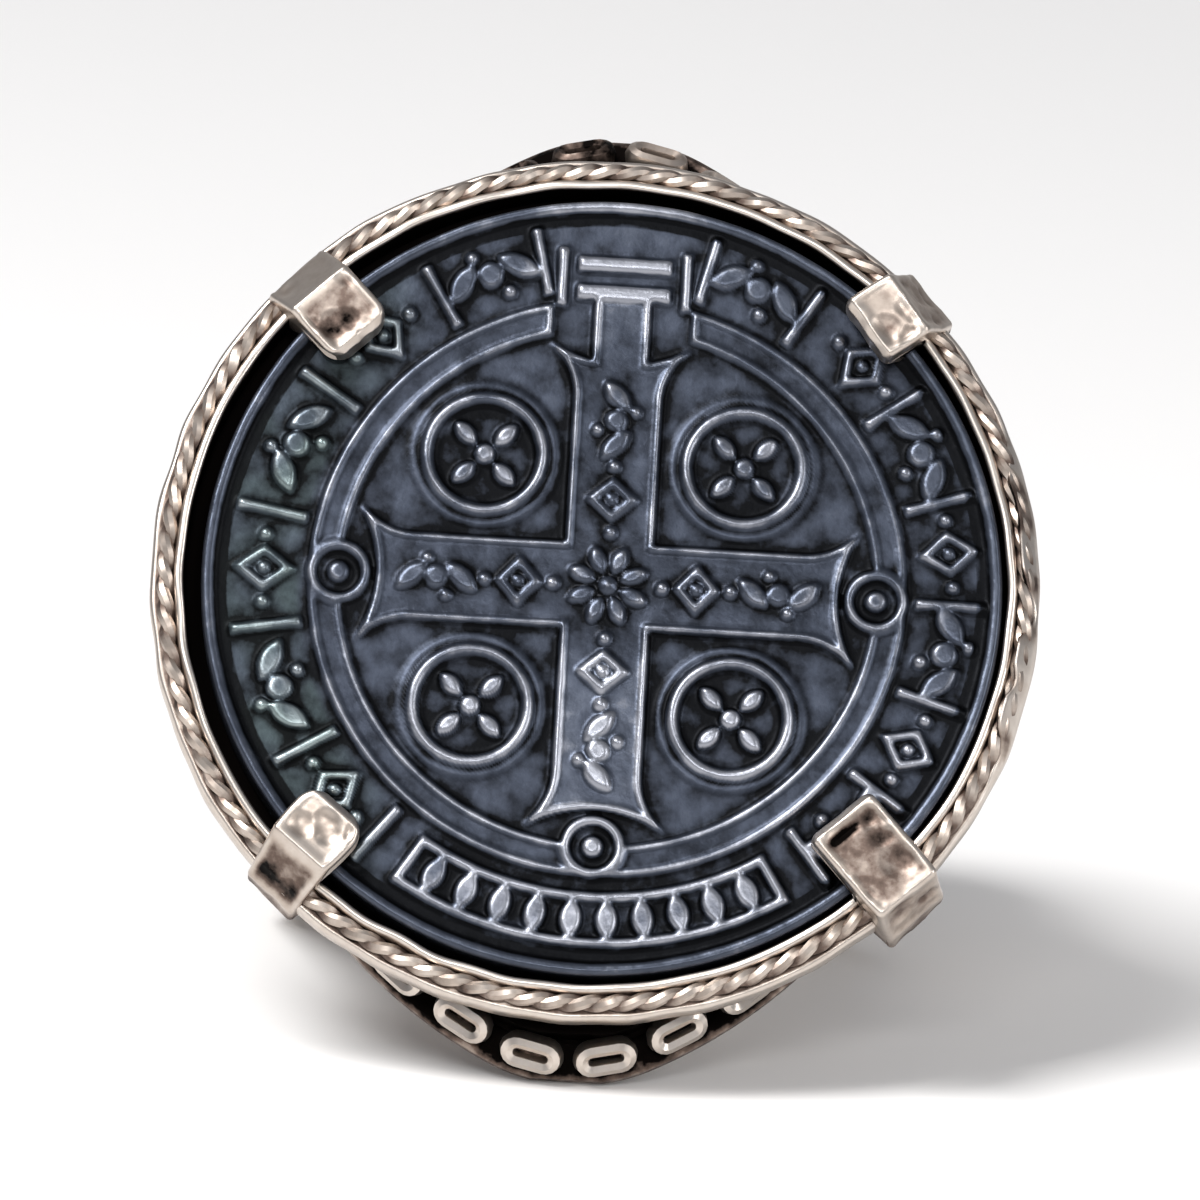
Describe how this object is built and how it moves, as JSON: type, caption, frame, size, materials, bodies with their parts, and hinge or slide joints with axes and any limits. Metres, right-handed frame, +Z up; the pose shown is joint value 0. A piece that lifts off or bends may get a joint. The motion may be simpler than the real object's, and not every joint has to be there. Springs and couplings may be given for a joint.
{
  "type": "medallion ring",
  "caption": "Finger ring with a dark round cast medallion held by four square claws in a bezel, lying on its side.",
  "frame": {"origin": "middle of the box's foot, on the surface that the ring lies on", "axes": "+Z up, -Y towards the side that the medallion faces, X across the finger"},
  "size_m": [0.025, 0.0268, 0.0245],
  "materials": {
    "silver": "hand-finished sterling silver, darkened in the recesses",
    "blackened_bronze": "cast, blackened and rubbed back on its relief"
  },
  "bodies": {
    "root": {"setting": "silver", "medallion": "blackened_bronze"}
  },
  "joints": []
}
